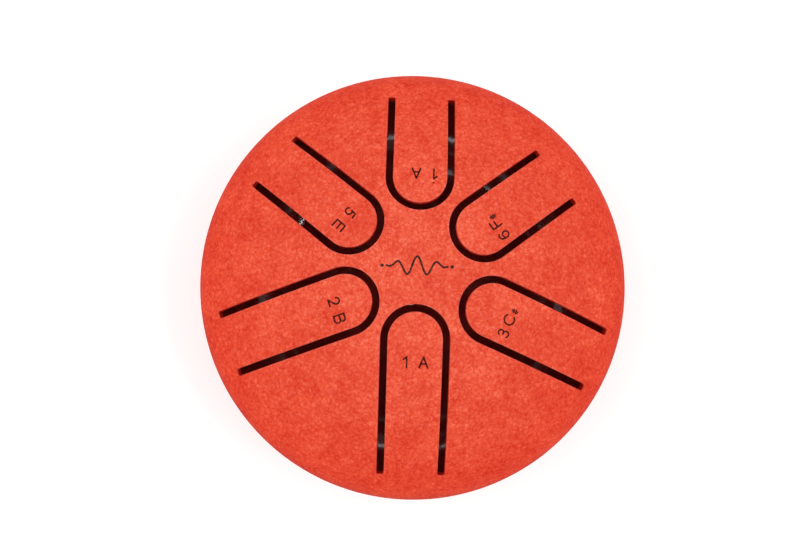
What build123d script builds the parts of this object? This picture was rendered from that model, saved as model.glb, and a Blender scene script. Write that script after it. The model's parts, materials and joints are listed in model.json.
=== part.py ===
"""Small steel tongue drum: two pressed steel shells welded at the rim, six tuned tongues, three rubber feet.

Frame: origin on the drum's axis at the level of the feet's undersides, +Z up through the dome and
-Y towards the lowest tongue. Millimetres.
"""
from build123d import *
from math import asin, cos, degrees, radians, sin
import os

# Shells
SHELL_RADIUS = 40.0  # outside, at the rim
SHEET = 1.0  # steel thickness
DOME_DEPTH = 22.0  # crown above the seam
DOME_SHOULDER = 12.0  # outside radius of the dome's rounded shoulder
DOME_WALL = 1.6  # upright rim below the shoulder
BOWL_CORNER = 18.0  # outside radius of the bowl's corner
BOWL_WALL = 1.3  # upright rim above the corner
VENT_RADIUS = 2.5  # vent in the middle of the bowl's floor, and the hook hole for coating

# Weld at the seam: it fills the groove between the two chamfered rims and stands a little proud
GROOVE = 0.35
BEAD_PROUD = 0.12

# Slots: each one runs along a tongue, round its tip and back along its other side
SLOT_WIDTH = 1.3
SLOT_SPACING = 10.96  # between the centre lines of a slot's two straight runs
SLOT_CORNER = 0.3  # rounding at a slot's ends
ROOT_GAP = 0.06  # clearance at the line where a tongue bends

# Tongues: name, direction from the axis in degrees, distance of the tip's centre, distance of the root
TONGUES = [
    ("tongue_1_a", -90.0, 10.9, 34.2),
    ("tongue_2_b", 200.0, 13.3, 34.9),
    ("tongue_3_c_sharp", -22.1, 14.6, 35.1),
    ("tongue_5_e", 140.8, 15.5, 33.3),
    ("tongue_6_f_sharp", 37.9, 14.7, 31.6),
    ("tongue_1_a_high", 89.1, 18.0, 33.1),
]

# Feet: rubber buttons, each held to the bowl by an adhesive disc
FOOT_COUNT = 3
FOOT_PITCH_RADIUS = 17.0
FOOT_RADIUS = 4.0
FOOT_HEIGHT = 2.4
FOOT_ROUNDING = 0.9
TAPE_RADIUS = 3.6
TAPE_THICKNESS = 0.3

# Heights
BASE_Z = FOOT_HEIGHT + TAPE_THICKNESS  # underside of the bowl
SEAM_Z = BASE_Z + BOWL_CORNER + BOWL_WALL
CROWN_Z = SEAM_Z + DOME_DEPTH

# The dome's cap is an arc centred on the axis and tangent to the arc of the shoulder
SHOULDER_CENTRE = (SHELL_RADIUS - DOME_SHOULDER, SEAM_Z + DOME_WALL)
CAP_RISE = DOME_DEPTH - DOME_WALL
CAP_RADIUS = (SHOULDER_CENTRE[0] ** 2 + CAP_RISE**2 - DOME_SHOULDER**2) / (2 * (CAP_RISE - DOME_SHOULDER))
CAP_CENTRE = (0, CROWN_Z - CAP_RADIUS)
SHOULDER_TURN = 90 - degrees(asin(SHOULDER_CENTRE[0] / (CAP_RADIUS - DOME_SHOULDER)))
CORNER_CENTRE = (SHELL_RADIUS - BOWL_CORNER, BASE_Z + BOWL_CORNER)

os.makedirs("parts", exist_ok=True)


def write(piece, name):
    """Label a finished piece and write it."""
    piece.label = name
    export_step(piece, f"parts/{name}.step")


def tongue_plane(direction):
    """Level plane at the seam, with its X axis outwards along a tongue."""
    outwards = (cos(radians(direction)), sin(radians(direction)), 0)
    return Plane(origin=(0, 0, SEAM_Z), x_dir=outwards, z_dir=(0, 0, 1))


def tongue_outline(tip_centre, root, half_width):
    """Outline with a round tip and straight sides, from the tip out to the root."""
    with Locations((tip_centre, 0)):
        Circle(half_width)
    with Locations(((tip_centre + root) / 2, 0)):
        Rectangle(root - tip_centre, 2 * half_width)


# Half section of the pressed dome, with its rim chamfered for the weld
with BuildSketch(Plane.XZ) as dome_section:
    with BuildLine():
        for inset in (0, SHEET):
            CenterArc(CAP_CENTRE, CAP_RADIUS - inset, SHOULDER_TURN, 90 - SHOULDER_TURN)
            CenterArc(SHOULDER_CENTRE, DOME_SHOULDER - inset, 0, SHOULDER_TURN)
        Line((0, CROWN_Z), (0, CROWN_Z - SHEET))
        Polyline(
            (SHELL_RADIUS, SHOULDER_CENTRE[1]),
            (SHELL_RADIUS, SEAM_Z + GROOVE),
            (SHELL_RADIUS - GROOVE, SEAM_Z),
            (SHELL_RADIUS - SHEET, SEAM_Z),
            (SHELL_RADIUS - SHEET, SHOULDER_CENTRE[1]),
        )
    make_face()

# Top shell: the dome with a window for each tongue
with BuildPart() as top_shell:
    revolve(dome_section.sketch, axis=Axis.Z)
    for _, direction, tip_centre, root in TONGUES:
        with BuildSketch(tongue_plane(direction)) as window:
            tongue_outline(tip_centre, root, (SLOT_SPACING + SLOT_WIDTH) / 2)
            fillet(window.vertices().group_by(Axis.X)[-1], SLOT_CORNER)
        extrude(amount=DOME_DEPTH + SHEET, mode=Mode.SUBTRACT)
write(top_shell.part, "top_shell")

# Tongues: what is left of the dome inside each slot, free of the dome at the root
for name, direction, tip_centre, root in TONGUES:
    with BuildPart() as tongue:
        revolve(dome_section.sketch, axis=Axis.Z)
        with BuildSketch(tongue_plane(direction)):
            tongue_outline(tip_centre, root - ROOT_GAP, (SLOT_SPACING - SLOT_WIDTH) / 2)
        extrude(amount=DOME_DEPTH + SHEET, mode=Mode.INTERSECT)
    write(tongue.part, name)

# Bottom shell: a bowl with a flat floor and a small vent in its middle
with BuildPart() as bottom_shell:
    with BuildSketch(Plane.XZ):
        with BuildLine():
            CenterArc(CORNER_CENTRE, BOWL_CORNER, -90, 90)
            Polyline(
                (SHELL_RADIUS, CORNER_CENTRE[1]),
                (SHELL_RADIUS, SEAM_Z - GROOVE),
                (SHELL_RADIUS - GROOVE, SEAM_Z),
                (SHELL_RADIUS - SHEET, SEAM_Z),
                (SHELL_RADIUS - SHEET, CORNER_CENTRE[1]),
            )
            CenterArc(CORNER_CENTRE, BOWL_CORNER - SHEET, -90, 90)
            Polyline(
                (CORNER_CENTRE[0], BASE_Z + SHEET),
                (VENT_RADIUS, BASE_Z + SHEET),
                (VENT_RADIUS, BASE_Z),
                (CORNER_CENTRE[0], BASE_Z),
            )
        make_face()
    revolve(axis=Axis.Z)
write(bottom_shell.part, "bottom_shell")

# Seam weld: one bead all the way round, ground to a low crown
with BuildPart() as seam_weld:
    with BuildSketch(Plane.XZ):
        with BuildLine():
            ThreePointArc(
                (SHELL_RADIUS, SEAM_Z - GROOVE),
                (SHELL_RADIUS + BEAD_PROUD, SEAM_Z),
                (SHELL_RADIUS, SEAM_Z + GROOVE),
            )
            Polyline(
                (SHELL_RADIUS, SEAM_Z + GROOVE),
                (SHELL_RADIUS - GROOVE, SEAM_Z),
                (SHELL_RADIUS, SEAM_Z - GROOVE),
            )
        make_face()
    revolve(axis=Axis.Z)
write(seam_weld.part, "seam_weld")

# Feet and their adhesive discs
for number in range(1, FOOT_COUNT + 1):
    angle = radians(90 + 360 / FOOT_COUNT * number)
    foot_x = FOOT_PITCH_RADIUS * cos(angle)
    foot_y = FOOT_PITCH_RADIUS * sin(angle)

    with BuildPart() as foot:
        with BuildSketch(Plane(origin=(foot_x, foot_y, 0))):
            Circle(FOOT_RADIUS)
        extrude(amount=FOOT_HEIGHT)
        fillet(foot.edges().group_by(Axis.Z)[0], FOOT_ROUNDING)
    write(foot.part, f"foot_{number}")

    with BuildPart() as tape:
        with BuildSketch(Plane(origin=(foot_x, foot_y, FOOT_HEIGHT))):
            Circle(TAPE_RADIUS)
        extrude(amount=TAPE_THICKNESS)
    write(tape.part, f"foot_tape_{number}")
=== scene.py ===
import json
from math import atan2, cos, hypot, pi, radians, sin, sqrt

import bmesh
import bpy
import numpy as np
from mathutils import Matrix, Vector, noise
from mathutils.geometry import delaunay_2d_cdt


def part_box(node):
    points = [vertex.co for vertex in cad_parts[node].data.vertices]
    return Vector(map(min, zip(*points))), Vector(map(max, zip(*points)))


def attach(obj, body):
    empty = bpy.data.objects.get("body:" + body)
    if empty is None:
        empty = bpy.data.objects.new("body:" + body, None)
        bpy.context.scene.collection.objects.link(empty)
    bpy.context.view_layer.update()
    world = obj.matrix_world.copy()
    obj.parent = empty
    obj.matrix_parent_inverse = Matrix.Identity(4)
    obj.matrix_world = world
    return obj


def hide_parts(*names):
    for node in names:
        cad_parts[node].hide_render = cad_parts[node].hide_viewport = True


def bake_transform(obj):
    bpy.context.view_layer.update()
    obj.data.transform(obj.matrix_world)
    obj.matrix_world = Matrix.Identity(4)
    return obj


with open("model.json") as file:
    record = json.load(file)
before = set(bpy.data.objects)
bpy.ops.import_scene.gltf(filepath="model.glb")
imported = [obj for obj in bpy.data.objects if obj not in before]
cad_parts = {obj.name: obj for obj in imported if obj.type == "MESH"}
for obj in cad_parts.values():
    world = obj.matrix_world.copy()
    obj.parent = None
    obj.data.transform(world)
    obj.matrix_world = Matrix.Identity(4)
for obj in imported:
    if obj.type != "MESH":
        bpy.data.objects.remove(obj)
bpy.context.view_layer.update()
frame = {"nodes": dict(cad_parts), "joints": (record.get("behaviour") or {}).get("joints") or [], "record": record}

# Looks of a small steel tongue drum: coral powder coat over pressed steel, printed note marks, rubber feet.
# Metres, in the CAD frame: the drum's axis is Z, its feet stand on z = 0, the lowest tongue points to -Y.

MM = 0.001
TINY = 1e-9  # metres, below which a length counts as nothing

# ---- The drum's shape: sizes that the frame holds, and the few that it doesn't ----
dome_low, dome_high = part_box("top_shell")
SHELL_RADIUS = dome_high.x
SEAM_Z = dome_low.z
CROWN_Z = dome_high.z
BASE_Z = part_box("bottom_shell")[0].z
VENT_RADIUS = next(m for m in frame["record"]["mounts"] if m["name"] == "vent")["dims"]["r_mm"] * MM
GROOVE = (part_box("seam_weld")[1].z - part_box("seam_weld")[0].z) / 2  # chamfer on each rim under the weld

SHEET = 1.0 * MM
DOME_SHOULDER = 12.0 * MM
DOME_WALL = 1.6 * MM
BOWL_CORNER = 18.0 * MM
SLOT_WIDTH = 1.3 * MM
SLOT_CORNER = 0.3 * MM
PAINTED_EDGE = 0.2 * MM  # radius of the coat over a cut edge
INNER_EDGE = 0.08 * MM  # radius of the same edge on the inside
EDGE_MARGIN = 0.12 * MM  # ring of faces that keeps the dome's own curve beside a rounded edge

SHOULDER_X = SHELL_RADIUS - DOME_SHOULDER
SHOULDER_Z = SEAM_Z + DOME_WALL
CAP_RISE = CROWN_Z - SHOULDER_Z
CAP_RADIUS = (SHOULDER_X**2 + CAP_RISE**2 - DOME_SHOULDER**2) / (2 * (CAP_RISE - DOME_SHOULDER))
CAP_Z = CROWN_Z - CAP_RADIUS
CAP_REACH = SHOULDER_X / (CAP_RADIUS - DOME_SHOULDER)  # sine of the angle where the cap meets the shoulder

# ---- Mesh density ----
GRID = 0.62 * MM  # spacing of points over the dome
FAN_RADIUS = 37.4 * MM  # the slotted middle of the dome, outside which it is a plain turned shape
AROUND = 384  # points round the drum
EDGE_STEPS = 5  # steps round a painted edge
INNER_STEPS = 2  # steps round the same edge on the inside
TIP_STEPS = 40  # steps round a tongue's tip
CORNER_STEPS = 5  # steps round a corner at a slot's end
SHOULDER_STEPS = 14  # steps down the dome's shoulder outside the slots
CLEARANCE = 0.6 * GRID  # between a point of the grid and a point of an outline
GAP_BATCHES = 12  # batches in which those gaps are measured, to save memory
PLAN_TOLERANCE = 1e-7  # millimetres, within which two points of the plan are one


def skin(plan):
    """Points and unit normals of the dome's outer skin over points in plan."""
    radius = np.hypot(plan[:, 0], plan[:, 1])
    out = plan / np.maximum(radius, TINY)[:, None]
    on_cap = radius <= CAP_RADIUS * CAP_REACH
    arc_radius = np.where(on_cap, CAP_RADIUS, DOME_SHOULDER)
    across = radius - np.where(on_cap, 0.0, SHOULDER_X)
    up = np.sqrt(np.maximum(arc_radius**2 - across**2, 0.0))
    height = up + np.where(on_cap, CAP_Z, SHOULDER_Z)
    normals = np.column_stack([out * (across / arc_radius)[:, None], up / arc_radius])
    return np.column_stack([plan, height]), normals


class Tongue:
    """Where a tongue lies in plan, read from its CAD node and joint."""

    def __init__(self, name):
        joint = next(j for j in frame["joints"] if j["child"] == name)
        self.name = name
        self.out = np.array([-joint["axis"][1], joint["axis"][0]])
        self.side = np.array([-self.out[1], self.out[0]])
        self.root = hypot(joint["pos_m"][0], joint["pos_m"][1])
        corners = np.array([v.co for v in frame["nodes"][name].data.vertices])[:, :2]
        self.half_width = float(np.abs(corners @ self.side).max())
        self.tip_centre = float((corners @ self.out).min()) + self.half_width
        # The slots are cut square to the sheet, so the wall at their outer end leans outwards by this much
        lean = SHEET * float(np.hypot(*skin(self.out[None] * self.root)[1][0, :2]))
        self.split = self.root + lean - SLOT_CORNER  # the tongue's mesh meets the dome's along this line

    def place(self, local):
        """Points along and across the tongue, in plan."""
        return local[:, :1] * self.out + local[:, 1:] * self.side

    def local(self, plan):
        return np.column_stack([plan @ self.out, plan @ self.side])

    def bend(self, piece):
        """Bakes the piece's placement into its mesh."""
        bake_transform(piece)


tongues = [Tongue(j["child"]) for j in frame["joints"]]


# ---- The slotted dome ----
COAT, INSIDE, EDGE, CUT = range(4)  # material slots of the sheet pieces: EDGE is a paler copy of the coat, a painted highlight on the rounded cut edges; CUT a darker copy, painted shade on the slot walls


def arc_points(centre, start, turn, steps):
    """Unit directions and centre of an arc, from start through turn, in degrees."""
    angles = np.radians(start + turn * np.arange(steps) / steps)
    directions = np.column_stack([np.cos(angles), np.sin(angles)])
    return np.tile(centre, (steps, 1)).astype(float), directions


def slot_walls(t):
    """The wall round a slot: points, the way from each into the metal, and the tongue's first and last.

    It runs down the far wall, round the tip, back, round one end, along the tongue and round the other end.
    """
    inner, outer = t.half_width, t.half_width + SLOT_WIDTH
    run = t.split - t.tip_centre
    steps = max(8, int(run / (0.75 * GRID)))
    along = np.arange(steps) / steps

    def straight(from_x, to_x, y, normal_y):
        points = np.column_stack([from_x + (to_x - from_x) * along, np.full(steps, y)])
        return points, np.tile([0.0, normal_y], (steps, 1))

    def round_tip(radius, start, turn, sign):
        centre, directions = arc_points((t.tip_centre, 0.0), start, turn, TIP_STEPS)
        return centre + radius * directions, sign * directions

    def corner(y, start):
        centre, directions = arc_points((t.split, y), start, 90, CORNER_STEPS)
        return centre + SLOT_CORNER * directions, directions

    near, far = inner + SLOT_CORNER, outer - SLOT_CORNER
    parts = [
        straight(t.split, t.tip_centre, outer, 1.0),
        round_tip(outer, 90, 180, 1.0),
        straight(t.tip_centre, t.split, -outer, -1.0),
        corner(-far, -90),
        corner(-near, 0),
        straight(t.split, t.tip_centre, -inner, 1.0),
        round_tip(inner, 270, -180, -1.0),
        straight(t.tip_centre, t.split, inner, -1.0),
        corner(near, -90),
        corner(far, 0),
    ]
    points = np.vstack([p for p, _ in parts])
    into_metal = np.vstack([n for _, n in parts])
    first = sum(len(p) for p, _ in parts[:5])
    last = first + sum(len(p) for p, _ in parts[5:8])
    return points, into_metal, first, last


def inside(points, loop):
    """Which points lie inside a closed loop, by crossings."""
    found = np.zeros(len(points), bool)
    x, y = points[:, 0], points[:, 1]
    for (x1, y1), (x2, y2) in zip(loop, np.roll(loop, -1, axis=0)):
        if y1 != y2:
            crosses = (y1 > y) != (y2 > y)
            found ^= crosses & (x < (x2 - x1) * (y - y1) / (y2 - y1) + x1)
    return found


def edge_rings():
    """Steps across a cut edge, from the outer skin to the inner: (back from the wall, depth, lean).

    The normal's lean is 0 on the outer skin, 90 degrees on the wall and 180 on the inner skin.
    """
    rings = []
    for i in range(EDGE_STEPS + 1):
        lean = pi / 2 * i / EDGE_STEPS
        rings.append((PAINTED_EDGE * (1 - sin(lean)), PAINTED_EDGE * (1 - cos(lean)), lean))
    for i in range(INNER_STEPS + 1):
        lean = pi / 2 * (1 + i / INNER_STEPS)
        rings.append((INNER_EDGE * (1 - sin(lean)), SHEET - INNER_EDGE * (1 + cos(lean)), lean))
    return rings


class Sheet:
    """Vertices, normals and faces of the slotted dome, with each face's piece and material."""

    def __init__(self):
        self.points, self.normals, self.faces, self.owner, self.finish = [], [], [], [], []
        self.count = 0

    def add_points(self, points, normals):
        self.points.append(points)
        self.normals.append(normals)
        self.count += len(points)
        return np.arange(self.count - len(points), self.count)

    def add_faces(self, faces, owner, finish):
        for face in faces:
            self.faces.append([int(v) for v in face])
            self.owner.append(owner)
            self.finish.append(finish)


def lay_skin(sheet, plan, depth):
    """Points at a depth in the dome's sheet under points in plan. Inner normals face the chamber."""
    surface, normals = skin(plan)
    return sheet.add_points(surface - depth * normals, normals if depth == 0 else -normals)


def hex_grid(radius):
    rows = int(radius / (GRID * sqrt(3) / 2)) + 1
    columns = int(radius / GRID) + 1
    points = [
        ((i + 0.5 * (j % 2)) * GRID, j * GRID * sqrt(3) / 2)
        for j in range(-rows, rows + 1)
        for i in range(-columns, columns + 1)
    ]
    return np.array(points)


def slotted_dome():
    """The whole dome with its slots, each tongue's faces marked with its name."""
    sheet = Sheet()
    turn = 2 * pi * np.arange(AROUND) / AROUND
    circle = FAN_RADIUS * np.column_stack([np.cos(turn), np.sin(turn)])
    back = PAINTED_EDGE + EDGE_MARGIN

    # Points in plan: the circle, a loop round each slot, the line across each root, and a grid between them
    blocks, edges, loops, root_lines = [circle], [], [], []
    edges += [(i, (i + 1) % AROUND) for i in range(AROUND)]
    start = AROUND
    walls = [slot_walls(t) for t in tongues]
    for t, (wall, into_metal, first, last) in zip(tongues, walls):
        loop = t.place(wall + back * into_metal)
        loops.append((start, loop))
        edges += [(start + i, start + (i + 1) % len(loop)) for i in range(len(loop))]
        blocks.append(loop)
        start += len(loop)
        reach = t.half_width - back
        across = np.linspace(-reach, reach, int(2 * reach / GRID) + 1)[1:-1]
        line = t.place(np.column_stack([np.full(len(across), t.split), across]))
        ends = (loops[-1][0] + first, *range(start, start + len(line)), loops[-1][0] + last)
        root_lines.append(ends)
        edges += list(zip(ends[:-1], ends[1:]))
        blocks.append(line)
        start += len(line)
    grid = hex_grid(FAN_RADIUS)
    grid = grid[np.hypot(grid[:, 0], grid[:, 1]) < FAN_RADIUS - 0.5 * GRID]
    fixed = np.vstack(blocks)
    clear = np.ones(len(grid), bool)
    for part in np.array_split(fixed, GAP_BATCHES):
        gap = np.hypot(grid[:, None, 0] - part[None, :, 0], grid[:, None, 1] - part[None, :, 1])
        clear &= gap.min(axis=1) > CLEARANCE
    for _, loop in loops:
        clear &= ~inside(grid, loop)
    plan = np.vstack([fixed, grid[clear]])

    made = delaunay_2d_cdt([Vector(p / MM) for p in plan], edges, [], 0, PLAN_TOLERANCE)
    source = [ids[0] for ids in made[3]]
    triangles = np.array([[source[v] for v in face] for face in made[2]])
    centres = plan[triangles].mean(axis=1)
    keep = np.hypot(centres[:, 0], centres[:, 1]) < FAN_RADIUS
    for _, loop in loops:
        keep &= ~inside(centres, loop)
    triangles, centres = triangles[keep], centres[keep]
    a, b, c = (plan[triangles[:, i]] for i in range(3))
    clockwise = np.cross(b - a, c - a) < 0
    triangles[clockwise] = triangles[clockwise][:, ::-1]

    owner = np.full(len(triangles), -1)
    for i, t in enumerate(tongues):
        x, y = t.local(centres).T
        from_middle = np.where(x > t.tip_centre, np.abs(y), np.hypot(x - t.tip_centre, y))
        owner[(x < t.split) & (from_middle < t.half_width + SLOT_WIDTH / 2)] = i

    outer = lay_skin(sheet, plan, 0.0)
    inner = lay_skin(sheet, plan, SHEET)
    for i in range(-1, len(tongues)):
        mine = triangles[owner == i]
        sheet.add_faces(outer[mine], i, COAT)
        sheet.add_faces(inner[mine][:, ::-1], i, INSIDE)

    # The cut edges, from the outer skin's loop round to the inner skin's
    for i, (t, (wall, into_metal, first, last)) in enumerate(zip(tongues, walls)):
        begin, loop = loops[i]
        columns = [outer[begin : begin + len(loop)]]
        for away, depth, lean in edge_rings():
            surface, up = skin(t.place(wall + away * into_metal))
            towards_slot = np.column_stack([-t.place(into_metal), np.zeros(len(wall))])
            normals = cos(lean) * up + sin(lean) * towards_slot
            normals /= np.linalg.norm(normals, axis=1)[:, None]
            columns.append(sheet.add_points(surface - depth * up, normals))
        columns.append(inner[begin : begin + len(loop)])
        # EDGE bands carry the painted highlight, CUT bands the painted shade
        finishes = [COAT] + [EDGE] * (EDGE_STEPS - 1) + [CUT] * (len(columns) - EDGE_STEPS - 2) + [INSIDE]
        for above, below, finish in zip(columns[:-1], columns[1:], finishes):
            for k in range(len(loop)):
                n = (k + 1) % len(loop)
                owner_here = i if first <= k < last else -1
                sheet.add_faces([(above[k], above[n], below[n], below[k])], owner_here, finish)
        # The section of the sheet at the root closes both the tongue's mesh and the dome's
        ends = root_lines[i]
        section = [outer[v] for v in ends] + [c[last % len(loop)] for c in columns[1:-1]]
        section += [inner[v] for v in reversed(ends)] + [c[first] for c in reversed(columns[1:-1])]
        sheet.add_faces([section[::-1]], i, CUT)
        sheet.add_faces([section], -1, CUT)

    # Outside the slots the dome is turned: shoulder, wall, rim, and back up inside
    turned = turned_rim(sheet, turn)
    columns = [outer[:AROUND], *turned, inner[:AROUND]]
    rim = len(columns) // 2
    for k, (above, below) in enumerate(zip(columns[:-1], columns[1:])):
        following = [(i + 1) % AROUND for i in range(AROUND)]
        quads = [(above[i], below[i], below[n], above[n]) for i, n in enumerate(following)]
        sheet.add_faces(quads, -1, INSIDE if k >= rim else COAT)
    return sheet


def turned_rim(sheet, turn):
    """Rings of points from the outer skin at FAN_RADIUS down to the seam and up the inner skin."""
    rings = []
    steps = SHOULDER_STEPS

    def ring(radius, height, lean):
        out = np.column_stack([np.cos(turn), np.sin(turn)])
        points = np.column_stack([radius * out, np.full(AROUND, height)])
        normals = np.column_stack([cos(lean) * out, np.full(AROUND, sin(lean))])
        rings.append(sheet.add_points(points, normals))

    first = atan2(sqrt(DOME_SHOULDER**2 - (FAN_RADIUS - SHOULDER_X) ** 2), FAN_RADIUS - SHOULDER_X)
    for i in range(1, steps + 1):
        angle = first * (1 - i / steps)
        ring(SHOULDER_X + DOME_SHOULDER * cos(angle), SHOULDER_Z + DOME_SHOULDER * sin(angle), angle)
    ring(SHELL_RADIUS, SEAM_Z + GROOVE, 0.0)
    ring(SHELL_RADIUS - GROOVE, SEAM_Z, -pi / 4)
    ring(SHELL_RADIUS - SHEET, SEAM_Z, -3 * pi / 4)
    inner_arc = DOME_SHOULDER - SHEET
    for i in range(steps):
        angle = first * i / steps
        ring(SHOULDER_X + inner_arc * cos(angle), SHOULDER_Z + inner_arc * sin(angle), angle + pi)
    return rings


def new_piece(name, points, faces, materials):
    """An object from points and faces, with material slots."""
    mesh = bpy.data.meshes.new(name)
    mesh.from_pydata([tuple(p) for p in points], [], faces)
    for material in materials:
        mesh.materials.append(material)
    mesh.polygons.foreach_set("use_smooth", [True] * len(mesh.polygons))
    piece = bpy.data.objects.new(name, mesh)
    bpy.context.scene.collection.objects.link(piece)
    return piece


def piece_from(sheet, owner, name, materials):
    """One owner's faces of the dome as an object, with the dome's own normals."""
    points, normals = np.vstack(sheet.points), np.vstack(sheet.normals)
    mine = [k for k, o in enumerate(sheet.owner) if o == owner]
    used = sorted({v for k in mine for v in sheet.faces[k]})
    place = {v: i for i, v in enumerate(used)}
    faces = [[place[v] for v in sheet.faces[k]] for k in mine]
    piece = new_piece(name, points[used], faces, materials)
    piece.data.polygons.foreach_set("material_index", [sheet.finish[k] for k in mine])
    piece.data.normals_split_custom_set_from_vertices([tuple(n) for n in normals[used]])
    return piece


# ---- Turned pieces ----
def lathe(name, profile, materials, around=AROUND, centre=(0.0, 0.0), indices=None):
    """A piece turned from (radius, height) points: a closed ring, or a solid if they start on the axis."""
    points, faces, rings = [], [], []
    for radius, height in profile:
        if radius < TINY:
            rings.append([len(points)] * around)
            points.append((centre[0], centre[1], height))
            continue
        rings.append(list(range(len(points), len(points) + around)))
        for i in range(around):
            angle = 2 * pi * i / around
            points.append((centre[0] + radius * cos(angle), centre[1] + radius * sin(angle), height))
    closed = profile[0][0] > TINY
    bands = list(zip(rings, rings[1:] + rings[:1])) if closed else list(zip(rings[:-1], rings[1:]))
    marks = []
    for k, (low, high) in enumerate(bands):
        for i in range(around):
            n = (i + 1) % around
            face = list(dict.fromkeys((low[i], low[n], high[n], high[i])))
            faces.append(face)
            marks.append(indices[k] if indices else 0)
    piece = new_piece(name, points, faces, materials)
    piece.data.polygons.foreach_set("material_index", marks)
    piece.data.set_sharp_from_angle(angle=radians(35))
    return piece


def arc(cx, cz, radius, start, end, steps):
    """Points on an arc of a profile, both ends included, in degrees."""
    angles = [radians(start + (end - start) * i / steps) for i in range(steps + 1)]
    return [(cx + radius * cos(a), cz + radius * sin(a)) for a in angles]


def make_bowl(coat, bare):
    """Bottom shell: textured coat outside and in the vent, smooth lacquer inside."""
    corner_x, corner_z = SHELL_RADIUS - BOWL_CORNER, BASE_Z + BOWL_CORNER
    edge, lip = 0.3 * MM, 0.1 * MM  # rounding of the vent below and above
    floor_steps, corner_steps = 16, 40
    floor_start = VENT_RADIUS + edge
    floor_length = corner_x - floor_start
    outside = [(floor_start + floor_length * i / floor_steps, BASE_Z) for i in range(floor_steps)]
    outside += arc(corner_x, corner_z, BOWL_CORNER, -90, 0, corner_steps)
    outside += [(SHELL_RADIUS, SEAM_Z - GROOVE), (SHELL_RADIUS - GROOVE, SEAM_Z)]
    inside_wall = [(SHELL_RADIUS - SHEET, SEAM_Z)]
    inside_wall += arc(corner_x, corner_z, BOWL_CORNER - SHEET, 0, -90, corner_steps)
    inside_wall += [(VENT_RADIUS + lip, BASE_Z + SHEET)]
    vent = arc(VENT_RADIUS + lip, BASE_Z + SHEET - lip, lip, 90, 180, 3)[1:]
    vent += arc(floor_start, BASE_Z + edge, edge, 180, 270, 6)[:-1]
    profile = outside + inside_wall + vent
    indices = [0] * len(outside) + [1] * len(inside_wall) + [0] * len(vent)
    return lathe("bowl", profile, [coat, bare], indices=indices)


def make_weld(coat):
    """Seam weld under the coat: a narrow bead of rippled puddles, in the groove between the rims."""
    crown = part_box("seam_weld")[1].x
    foot = SHELL_RADIUS - 0.3 * GROOVE  # where the bead meets the walls of the groove
    half = 0.7 * GROOVE  # the bead's half width there
    ripples, steps_per_ripple, steps = 230, 10, 8
    puddle_bow = 0.45  # how far the ends of a ripple lag behind its middle, in ripples
    low, swell = 0.72, 0.28  # height of the bead between puddles, and what a puddle adds
    unevenness = ((0.06, 7, 0.4), (0.05, 17, 0.0))  # share of the height, waves round the drum, phase
    around = ripples * steps_per_ripple
    points, faces = [], []
    for i in range(around):
        angle = 2 * pi * i / around
        wander = sum(share * sin(waves * angle + phase) for share, waves, phase in unevenness)
        for k in range(steps + 1):
            across = -1 + 2 * k / steps
            puddle = (i / steps_per_ripple + puddle_bow * across * across) % 1.0
            rise = (low + swell * puddle + wander * (1 - puddle)) * sqrt(max(0.0, 1 - across * across))
            radius = foot + (crown - foot) * min(rise, 1.0)
            points.append((radius * cos(angle), radius * sin(angle), SEAM_Z + across * half))
        points.append(((SHELL_RADIUS - GROOVE) * cos(angle), (SHELL_RADIUS - GROOVE) * sin(angle), SEAM_Z))
    row = steps + 2
    for i in range(around):
        here, there = i * row, (i + 1) % around * row
        for k in range(row):
            n = (k + 1) % row
            faces.append((here + k, there + k, there + n, here + n))
    piece = new_piece("seam_bead", points, faces, [coat])
    piece.data.set_sharp_from_angle(angle=radians(50))
    return piece


def make_foot(number, rubber):
    """Rubber button with a rounded lower edge and a shallow cup under it."""
    low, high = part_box(f"foot_{number}")
    centre = ((low.x + high.x) / 2, (low.y + high.y) / 2)
    radius, height = (high.x - low.x) / 2, high.z
    rounding, cup, draft, top_edge = 0.9 * MM, 0.18 * MM, 0.12 * MM, 0.15 * MM
    lip = 0.25 * MM  # height of the collar under the adhesive
    flat = radius - draft - rounding
    profile = [(0.0, cup)]
    for out, up in ((0.45, 1.0), (0.62, 0.6), (0.74, 0.1), (0.8, 0.0)):  # the cup's side, as shares
        profile.append((out * flat, up * cup))
    profile += arc(flat, rounding, rounding, -90, 0, 10)
    profile += [(radius - top_edge, height - lip)]
    profile += arc(radius - top_edge, height - top_edge, top_edge, 0, 90, 4)
    profile += [(0.0, height)]
    return lathe(f"foot_button_{number}", profile, [rubber], around=72, centre=centre)


# ---- Marks: strokes of ink that lie on the dome ----
MARK_HEIGHT = 1.85 * MM  # between the middles of the top and bottom strokes
MARK_STROKE = 0.30 * MM
FINE_STROKE = 0.19 * MM
INK_RISE = 0.012 * MM
INK_STEP = 0.003 * MM  # crossing strokes lie one on the other
INK_ROOT = 0.03 * MM
RAGGED = 0.25  # share of a stroke's half width by which its edge wanders
RAGGED_SIZE = 0.3 * MM
HIGH_LIFT = 2.55 * MM  # of the dot that marks the octave above


def bow(cx, cy, rx, ry, start, end, steps=22):
    """Points on an oval arc of a mark, in degrees."""
    angles = [radians(start + (end - start) * i / steps) for i in range(steps + 1)]
    return [(cx + rx * cos(a), cy + ry * sin(a)) for a in angles]


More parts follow.
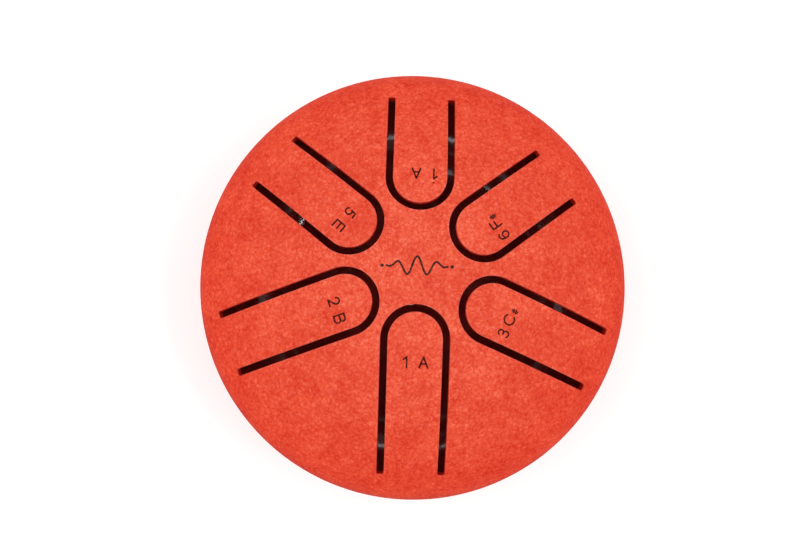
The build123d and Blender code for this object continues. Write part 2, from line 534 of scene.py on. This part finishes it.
# Each mark is a list of strokes in units of its height, from the baseline up
GLYPHS = {
    "1": [[(0.21, 0.74), (0.38, 0.84), (0.52, 1.0), (0.52, 0.0)]],
    "2": [bow(0.33, 0.69, 0.30, 0.31, 165, -35) + [(0.03, 0.0), (0.66, 0.0)]],
    "3": [bow(0.32, 0.76, 0.25, 0.24, 155, -90) + [(0.24, 0.52)], bow(0.32, 0.26, 0.29, 0.26, 90, -155)],
    "5": [[(0.60, 1.0), (0.15, 1.0), (0.08, 0.50)] + bow(0.31, 0.32, 0.30, 0.32, 135, -150)],
    "6": [bow(0.33, 0.31, 0.31, 0.31, 180, -180, 30), bow(0.40, 0.42, 0.38, 0.58, 187, 52)],
    "A": [[(0.0, 0.0), (0.40, 1.0), (0.80, 0.0)], [(0.15, 0.36), (0.65, 0.36)]],
    "B": [
        [(0.0, 0.53), (0.0, 1.0)] + bow(0.42, 0.765, 0.25, 0.235, 90, -90) + [(0.0, 0.53)],
        [(0.0, 0.50), (0.0, 0.0)] + bow(0.44, 0.265, 0.27, 0.265, -90, 90),
    ],
    "C": [bow(0.5, 0.5, 0.5, 0.5, 46, 314, 34)],
    "E": [[(0.70, 1.0), (0.0, 1.0), (0.0, 0.0), (0.73, 0.0)], [(0.0, 0.52), (0.66, 0.52)]],
    "F": [[(0.68, 1.0), (0.0, 1.0), (0.0, 0.0)], [(0.0, 0.52), (0.60, 0.52)]],
    "sharp": [
        [(0.09, 0.0), (0.16, 0.60)],
        [(0.23, 0.0), (0.30, 0.60)],
        [(0.0, 0.20), (0.37, 0.20)],
        [(0.02, 0.41), (0.39, 0.41)],
    ],
    "high": [[(0.52, 0.0), (0.52, 0.02)]],
}

# For each tongue, in millimetres: the baseline's distance from the drum's axis, and where each mark starts
# to the side of the tongue's middle
LABELS = {
    "tongue_1_a": (15.70, [("1", -2.36), ("A", 0.80)]),
    "tongue_2_b": (15.90, [("2", -1.20), ("B", 1.90)]),
    "tongue_3_c_sharp": (18.75, [("3", -3.45), ("C", -1.15), ("sharp", 1.08)]),
    "tongue_5_e": (17.20, [("5", -1.75), ("E", 1.25)]),
    "tongue_6_f_sharp": (17.80, [("6", -3.75), ("F", -1.30), ("sharp", 0.28)]),
    "tongue_1_a_high": (19.45, [("1", -3.36), ("A", -0.05), ("high", -3.36)]),
}


def resample(stroke, spacing):
    """The stroke with points at most spacing apart."""
    points = [np.array(stroke[0], float)]
    for end in stroke[1:]:
        end = np.array(end, float)
        steps = max(1, int(np.linalg.norm(end - points[-1]) / spacing))
        begin = points[-1]
        points += [begin + (end - begin) * (k + 1) / steps for k in range(steps)]
    return np.array(points)


def smooth_runs(stroke):
    """The stroke cut wherever it turns sharply, so that each run bends gently."""
    points = [np.array(p, float) for p in stroke]
    runs, run = [], [points[0]]
    for before, here, after in zip(points[:-2], points[1:-1], points[2:]):
        run.append(here)
        a, b = here - before, after - here
        if a @ b < 0.8 * np.linalg.norm(a) * np.linalg.norm(b):
            runs.append(run)
            run = [here]
    return [*runs, [*run, points[-1]]]


def ragged(point):
    """Half width of a stroke at a point of its edge, as a share of the smooth stroke's."""
    return 1 + RAGGED * noise.noise(Vector((*point, 0)) / RAGGED_SIZE)


def ribbon(stroke, width):
    """Outline in plan of a stroke with round, slightly ragged edges, as rows of three points across it."""
    line = resample(stroke, 0.3 * width)
    ahead = np.gradient(line, axis=0)
    ahead /= np.maximum(np.linalg.norm(ahead, axis=1), 1e-12)[:, None]
    spine = [(p, a, 1.0) for p, a in zip(line, ahead)]
    caps = 4
    for k in range(1, caps + 1):
        lean = pi / 2 * k / (caps + 0.5)
        reach = ahead[[0, -1]] * sin(lean) * width / 2
        spine.insert(0, (line[0] - reach[0], ahead[0], cos(lean)))
        spine.append((line[-1] + reach[1], ahead[-1], cos(lean)))
    rows = []
    for point, along, share in spine:
        side = np.array([-along[1], along[0]]) * share * width / 2
        rows.append([point - side * ragged(point - side), point, point + side * ragged(point + side)])
    return np.array(rows)


def ink(name, strokes, place, material):
    """Strokes of (points, width) as one thin mesh on the dome. place turns their plan into the drum's."""
    points, faces = [], []
    runs = [(run, width) for stroke, width in strokes for run in smooth_runs(stroke)]
    for number, (run, width) in enumerate(runs):
        rows = ribbon(run, width)
        count = len(rows)
        surface, normals = skin(place(rows.reshape(-1, 2)))
        crown = np.tile([0.5, 1.0, 0.5], count) * INK_RISE + INK_STEP * number
        base = len(points)
        points += list(surface + normals * crown[:, None]) + list(surface - normals * INK_ROOT)
        under = 3 * count
        for k in range(count - 1):
            a, b = base + 3 * k, base + 3 * k + 3
            for c in range(2):
                faces.append((a + c, a + c + 1, b + c + 1, b + c))
                faces.append((under + a + c, under + b + c, under + b + c + 1, under + a + c + 1))
            faces.append((a, b, under + b, under + a))
            faces.append((a + 2, under + a + 2, under + b + 2, b + 2))
        last = base + 3 * count - 3
        for p, q in ((base + 1, base), (base + 2, base + 1), (last, last + 1), (last + 1, last + 2)):
            faces.append((p, q, under + q, under + p))
    piece = new_piece(name, points, faces, [material])
    mesh = bmesh.new()
    mesh.from_mesh(piece.data)
    bmesh.ops.recalc_face_normals(mesh, faces=mesh.faces)
    mesh.to_mesh(piece.data)
    mesh.free()
    piece.data.set_sharp_from_angle(angle=radians(40))
    return piece


def note_mark(t, material):
    """The note's number and letter on a tongue, upright for a player who faces its tip from its root."""
    baseline, marks = LABELS[t.name]
    strokes = []
    for mark, x in marks:
        width = FINE_STROKE if mark == "sharp" else MARK_STROKE
        lift = HIGH_LIFT if mark == "high" else 0.0
        for shape in GLYPHS[mark]:
            points = [(x * MM + MARK_HEIGHT * px, lift + MARK_HEIGHT * py) for px, py in shape]
            strokes.append((points, width))

    def place(points):
        return np.outer(baseline * MM - points[:, 1], t.out) + np.outer(points[:, 0], t.side)

    return ink(f"mark_{t.name[len('tongue_'):]}", strokes, place, material)


def ornament(material):
    """A sounding wave between two dots, printed at the middle of the dome."""
    middle, reach, swell, waves = 1.85 * MM, 5.3 * MM, 1.70 * MM, 3.0
    fading = 1.2  # how soon the wave dies away to its ends
    steps = 220
    wave_stroke, dot_size, dot_reach, dot_length = 0.36 * MM, 0.62 * MM, 6.1 * MM, 0.02 * MM
    wave = []
    for i in range(steps + 1):
        along = -1 + 2 * i / steps
        height = swell * cos(pi / 2 * along) ** fading * cos(pi * waves * along)
        wave.append((reach * along, middle + height))
    dots = [[(x, middle), (x + dot_length, middle)] for x in (-dot_reach, dot_reach)]
    strokes = [(wave, wave_stroke)] + [(dot, dot_size) for dot in dots]
    return ink("ornament", strokes, lambda points: points, material)


# ---- Materials ----
GROOVE_SHARE = 0.22  # width of a wrinkle's side, as a share of the mesh of the net
MIX_FACTOR, MIX_FIRST, MIX_SECOND, MIX_RESULT = 0, 6, 7, 2  # a Mix node's sockets when it mixes colours


def fill_ramp(ramp, stops):
    """Give a colour ramp node its stops of (place, colour)."""
    elements = ramp.color_ramp.elements
    while len(elements) < len(stops):
        elements.new(0.5)
    for element, (at, colour) in zip(elements, stops):
        element.position = at
        element.color = (*colour, 1)


def multiply(tree, first, second):
    """The product of two nodes' colours."""
    made = tree.nodes.new("ShaderNodeMix")
    made.data_type = "RGBA"
    made.blend_type = "MULTIPLY"
    made.inputs[MIX_FACTOR].default_value = 1.0
    tree.links.new(first, made.inputs[MIX_FIRST])
    tree.links.new(second, made.inputs[MIX_SECOND])
    return made.outputs[MIX_RESULT]


class Paint:
    """A procedural material under construction on the Principled shader, in object coordinates."""

    def __init__(self, name, colour, roughness, **sockets):
        self.material = bpy.data.materials.new(name)
        self.material.use_nodes = True
        self.material.diffuse_color = (*colour, 1)
        self.tree = self.material.node_tree
        self.shader = self.tree.nodes["Principled BSDF"]
        self.shader.inputs["Base Color"].default_value = (*colour, 1)
        self.shader.inputs["Roughness"].default_value = roughness
        for socket, value in sockets.items():
            self.shader.inputs[socket.replace("_", " ")].default_value = value
        self.place = self.tree.nodes.new("ShaderNodeTexCoord").outputs["Object"]

    def node(self, kind, **inputs):
        """A node with its inputs set, or linked where the value is another node's output."""
        made = self.tree.nodes.new(kind)
        for name, value in inputs.items():
            socket = next(s for s in made.inputs if name in (s.identifier, s.name.replace(" ", "_")))
            if isinstance(value, bpy.types.NodeSocket):
                self.tree.links.new(value, socket)
            else:
                socket.default_value = value
        return made

    def noise(self, size, detail=2.0, roughness=0.5, distortion=0.0):
        """Noise whose blotches are about this size, in metres."""
        made = self.node("ShaderNodeTexNoise", Vector=self.place, Scale=1 / size, Detail=detail)
        made.inputs["Roughness"].default_value = roughness
        made.inputs["Distortion"].default_value = distortion
        return made.outputs["Fac"]

    def wrinkles(self, size, wander):
        """A net of fine grooves with meshes of about this size: 0 in a groove, and 1 clear of it."""
        shift = self.node("ShaderNodeTexNoise", Vector=self.place, Scale=1 / size, Detail=2.0)
        shifted = self.node("ShaderNodeVectorMath", Vector=shift.outputs["Color"], Scale=wander * size)
        shifted.operation = "SCALE"
        moved = self.node("ShaderNodeVectorMath", Vector=shifted.outputs["Vector"], Vector_001=self.place)
        net = self.node("ShaderNodeTexVoronoi", Vector=moved.outputs["Vector"], Scale=1 / size)
        net.feature = "DISTANCE_TO_EDGE"
        level = self.node("ShaderNodeMapRange", Value=net.outputs["Distance"])
        level.inputs["From Max"].default_value = GROOVE_SHARE
        return level.outputs["Result"]

    def ramp(self, value, *stops):
        """Colour or grey for a value, by stops of (place, colour)."""
        made = self.node("ShaderNodeValToRGB", Fac=value)
        fill_ramp(made, stops)
        return made.outputs["Color"]

    def bump(self, height, distance, strength=1.0, below=None):
        made = self.node("ShaderNodeBump", Height=height, Distance=distance, Strength=strength)
        if below is not None:
            self.tree.links.new(below, made.inputs["Normal"])
        return made.outputs["Normal"]

    def link(self, **sockets):
        for name, value in sockets.items():
            self.tree.links.new(value, self.shader.inputs[name.replace("_", " ")])


def grey(value):
    return (value, value, value)


# Painted shade: the coat's colour darkens and reddens from the drum's axis out towards the rim, standing in for
# less light and sheen there: (share of the drum's radius, what multiplies the colour there)
RIM_PAINTED_SHADE = [
    (0.15, grey(1.0)),
    (0.85, (0.96, 0.69, 0.62)),
    (0.97, (0.915, 0.49, 0.37)),
    (1.0, (0.68, 0.32, 0.21)),
]


def powder_coat(name, low, middle, high):
    """Textured powder coat between three tones: mottled, with a leathery grain, painted shade in the grooves of
    its wrinkles, and painted shade that darkens and reddens it towards the rim.
    """
    paint = Paint(name, middle, 0.62, Specular_IOR_Level=0.03)
    grain = paint.noise(0.55 * MM, detail=2.5, roughness=0.62, distortion=0.6)
    fleck = paint.noise(0.21 * MM, detail=1.0)
    patch = paint.noise(1.6 * MM, detail=2.0, distortion=0.5)
    cloud = paint.noise(6.0 * MM, detail=3.0)
    wrinkle = paint.wrinkles(1.05 * MM, wander=0.5)
    colour = paint.ramp(grain, (0.24, low), (0.50, middle), (0.76, high))
    # Patch, cloud and fleck vary the tone at random; the wrinkle entry darkens the grooves of the net as painted
    # shade
    mottle_and_groove_shade = [(patch, 0.78, 1.13), (cloud, 0.80, 1.16), (fleck, 0.88, 1.09), (wrinkle, 0.80, 1.02)]
    for value, less, more in mottle_and_groove_shade:
        darker, lighter = ((0.72 + 0.28 * share, share, share) for share in (less, more))
        colour = multiply(paint.tree, colour, paint.ramp(value, (0.32, darker), (0.68, lighter)))
    to_shares = (1 / SHELL_RADIUS, 1 / SHELL_RADIUS, 0)
    across = paint.node("ShaderNodeVectorMath", Vector=paint.place, Vector_001=to_shares)
    across.operation = "MULTIPLY"
    radius = paint.node("ShaderNodeVectorMath", Vector=across.outputs["Vector"])
    radius.operation = "LENGTH"
    # Painted shade: darker and redder towards the rim, by the radius in plan
    colour = multiply(paint.tree, colour, paint.ramp(radius.outputs["Value"], *RIM_PAINTED_SHADE))
    normal = paint.bump(grain, 0.06 * MM)
    normal = paint.bump(fleck, 0.015 * MM, below=normal)
    normal = paint.bump(wrinkle, 0.02 * MM, below=normal)
    roughness = paint.ramp(grain, (0.3, grey(0.68)), (0.7, grey(0.56)))
    paint.link(Base_Color=colour, Normal=normal, Roughness=roughness)
    return paint.material


def smooth_inside():
    """Smooth dark red lacquer on the inside of the shells."""
    paint = Paint("smooth_inside", (0.42, 0.036, 0.026), 0.12, IOR=1.6)
    film = paint.noise(4.0 * MM, detail=2.0)
    paint.link(
        Base_Color=paint.ramp(film, (0.3, (0.37, 0.030, 0.022)), (0.7, (0.47, 0.042, 0.030))),
        Roughness=paint.ramp(film, (0.3, grey(0.10)), (0.7, grey(0.16))),
        Normal=paint.bump(film, 0.02 * MM),
    )
    return paint.material


def mark_ink(name, dark, middle, worn):
    """Ink that thins where it meets the grain of the coat."""
    paint = Paint(name, middle, 0.7, Specular_IOR_Level=0.08)
    grain = paint.noise(0.30 * MM, detail=2.0, roughness=0.6)
    paint.link(
        Base_Color=paint.ramp(grain, (0.30, dark), (0.52, middle), (0.72, worn)),
        Normal=paint.bump(grain, 0.03 * MM),
    )
    return paint.material


def foot_rubber():
    """Moulded soft rubber, nearly black, with a matt skin."""
    paint = Paint("foot_rubber", (0.022, 0.022, 0.023), 0.62)
    skin_noise = paint.noise(0.5 * MM, detail=4.0)
    dust = paint.noise(2.5 * MM, detail=2.0)
    paint.link(
        Base_Color=paint.ramp(dust, (0.35, grey(0.016)), (0.75, grey(0.040))),
        Roughness=paint.ramp(skin_noise, (0.3, grey(0.55)), (0.7, grey(0.75))),
        Normal=paint.bump(skin_noise, 0.02 * MM),
    )
    return paint.material


def foot_adhesive():
    """Foam tape between a foot and the bowl, off-white with open cells, darkened in their pits as painted shade.
    """
    paint = Paint("foot_adhesive", (0.55, 0.54, 0.50), 0.8)
    cell_size = 0.15 * MM
    net = paint.node("ShaderNodeTexVoronoi", Vector=paint.place, Scale=1 / cell_size)
    cells = net.outputs["Distance"]
    paint.link(
        # Painted shade: darker towards the middle of each cell
        Base_Color=paint.ramp(cells, (0.0, grey(0.38)), (0.5, (0.62, 0.61, 0.57))),
        Normal=paint.bump(cells, 0.02 * MM),
    )
    return paint.material


def floor_paper():
    """Plain pale paper on a dim light table, which takes the weight out of the drum's shadow."""
    paint = Paint("floor_paper", grey(0.93), 0.9, Emission_Color=(1, 1, 1, 1), Emission_Strength=0.20)
    fibre = paint.noise(0.8 * MM, detail=4.0)
    paint.link(Base_Color=paint.ramp(fibre, (0.3, grey(0.92)), (0.7, grey(0.95))))
    return paint.material


# ---- Camera, floor and light ----
# The camera looks nearly straight down, from the player's side. Its tilt aside and towards the player and
# its turn about its own axis are in degrees. Its place from the middle of the seam is in millimetres to the
# right, up and back along its own axes.
CAMERA_TILT_ASIDE = 1.357
CAMERA_TILT_BACK = -5.171
CAMERA_TURN = 1.476
CAMERA_PLACE = (-2.411, 3.633, 240.0)
CAMERA_LENS = 56.71  # millimetres, for a sensor 36 mm wide

FLOOR_HALF = 4.0  # half the side of the paper

# Softboxes as azimuth and elevation in degrees, width and height in metres, and watts
SOFTBOXES = [
    (101, 23, 0.08, 0.06, 0.13),
    (79, 25, 0.08, 0.06, 0.13),
    (-79, 30, 0.08, 0.06, 0.17),
    (-104, 28, 0.08, 0.06, 0.17),
    (-21, 66, 0.06, 0.06, 0.30),
    (-107, 73, 0.06, 0.06, 0.10),
    (-127, 67, 0.06, 0.06, 0.06),
]
SOFTBOX_DISTANCE = 0.8


def make_camera():
    """Nearly overhead, a little to the player's side, as near as such a small object is looked at."""
    aside = Matrix.Rotation(radians(CAMERA_TILT_ASIDE), 3, "Y")
    tilt = aside @ Matrix.Rotation(radians(CAMERA_TILT_BACK), 3, "X")
    turn = Matrix.Rotation(radians(CAMERA_TURN), 3, "Z") @ tilt.transposed()
    data = bpy.data.cameras.new("camera")
    data.lens = CAMERA_LENS
    data.sensor_width = 36
    data.clip_start = 0.01
    camera = bpy.data.objects.new("camera", data)
    place = turn @ Vector(CAMERA_PLACE) * MM + Vector((0, 0, SEAM_Z))
    camera.matrix_world = Matrix.Translation(place) @ turn.to_4x4()
    bpy.context.scene.collection.objects.link(camera)
    bpy.context.scene.camera = camera


def make_floor(paper):
    """A wide sheet of paper under the drum."""
    corners = [(x * FLOOR_HALF, y * FLOOR_HALF, 0) for x, y in ((-1, -1), (1, -1), (1, 1), (-1, 1))]
    floor = new_piece("floor", corners, [(0, 1, 2, 3)], [paper])


def softbox(name, azimuth, elevation, width, height, power):
    """An area light that faces the middle of the drum."""
    data = bpy.data.lights.new(name, "AREA")
    data.shape = "RECTANGLE"
    data.size = width
    data.size_y = height
    data.energy = power
    light = bpy.data.objects.new(name, data)
    level = cos(radians(elevation))
    away = Vector((level * cos(radians(azimuth)), level * sin(radians(azimuth)), sin(radians(elevation))))
    light.location = away * SOFTBOX_DISTANCE + Vector((0, 0, SEAM_Z))
    light.rotation_euler = away.to_track_quat("Z", "Y").to_euler()
    bpy.context.scene.collection.objects.link(light)


# Brightness of the studio by height, as (sine of the elevation, brightness): dark where the camera stands
TENT = [(0.0, 0.26), (0.35, 0.50), (0.80, 0.98), (0.895, 1.0), (0.905, 0.05)]
# Brightness across the studio, from +X to -X and from the player's side to the far side
ACROSS = [(0.0, 0.95), (0.5, 0.49), (1.0, 1.0)]
ALONG = [(0.0, 0.47), (0.5, 1.0), (1.0, 0.60)]
WORLD_STRENGTH = 3.05


def make_world():
    """A pale studio tent, lit from the left and the right, dimmest near the floor at the player's side."""
    world = bpy.data.worlds.new("studio")
    world.use_nodes = True
    tree = world.node_tree
    direction = tree.nodes.new("ShaderNodeTexCoord").outputs["Generated"]

    def gradient(axis, offset, stops):
        along = tree.nodes.new("ShaderNodeVectorMath")
        along.operation = "DOT_PRODUCT"
        along.inputs[1].default_value = axis
        shifted = tree.nodes.new("ShaderNodeMath")
        shifted.inputs[1].default_value = offset
        ramp = tree.nodes.new("ShaderNodeValToRGB")
        tree.links.new(direction, along.inputs[0])
        tree.links.new(along.outputs["Value"], shifted.inputs[0])
        tree.links.new(shifted.outputs[0], ramp.inputs["Fac"])
        fill_ramp(ramp, [(at, grey(value)) for at, value in stops])
        return ramp.outputs["Color"]

    brightness = gradient((0, 0, 1), 0.0, TENT)
    for axis, stops in (((-0.5, 0, 0), ACROSS), ((0, 0.5, 0), ALONG)):
        brightness = multiply(tree, brightness, gradient(axis, 0.5, stops))
    tree.links.new(brightness, tree.nodes["Background"].inputs["Color"])
    tree.nodes["Background"].inputs["Strength"].default_value = WORLD_STRENGTH
    bpy.context.scene.world = world


def make_light():
    make_world()
    for number, (azimuth, elevation, width, height, power) in enumerate(SOFTBOXES):
        softbox(f"softbox_{number}", azimuth, elevation, width, height, power)
    bpy.context.scene.view_settings.view_transform = "Standard"


# ---- Making ----
def main():
    make_camera()
    make_floor(floor_paper())
    make_light()
    coat = powder_coat("coral_coat", (0.68, 0.056, 0.022), (0.76, 0.107, 0.054), (0.84, 0.188, 0.126))
    # A paler copy of the coat on the rounded slot edges: painted highlight
    edge = powder_coat("thin_edge", (0.60, 0.085, 0.045), (0.74, 0.130, 0.080), (0.85, 0.200, 0.140))
    # A darker, redder copy of the coat on the slot walls: painted shade
    cut = powder_coat("cut_wall", (0.55, 0.030, 0.015), (0.68, 0.040, 0.020), (0.78, 0.060, 0.035))
    inside, rubber, adhesive = smooth_inside(), foot_rubber(), foot_adhesive()
    marks = mark_ink("note_ink", (0.020, 0.003, 0.002), (0.045, 0.006, 0.004), (0.26, 0.028, 0.015))
    wave = mark_ink("wave_ink", (0.018, 0.009, 0.007), (0.040, 0.017, 0.013), (0.20, 0.050, 0.030))

    sheet = slotted_dome()
    dome = piece_from(sheet, -1, "dome", [coat, inside, edge, cut])
    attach(dome, "drum")
    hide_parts("top_shell")
    for i, t in enumerate(tongues):
        piece = piece_from(sheet, i, f"{t.name}_sheet", [coat, inside, edge, cut])
        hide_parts(t.name)
        t.bend(piece)
        t.bend(note_mark(t, marks))
    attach(ornament(wave), "drum")

    for piece, node in ((make_bowl(coat, inside), "bottom_shell"), (make_weld(coat), "seam_weld")):
        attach(piece, "drum")
        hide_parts(node)
    for number in (1, 2, 3):
        foot = make_foot(number, rubber)
        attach(foot, "drum")
        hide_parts(f"foot_{number}")
        for slot in frame["nodes"][f"foot_tape_{number}"].material_slots:
            slot.material = adhesive


main()
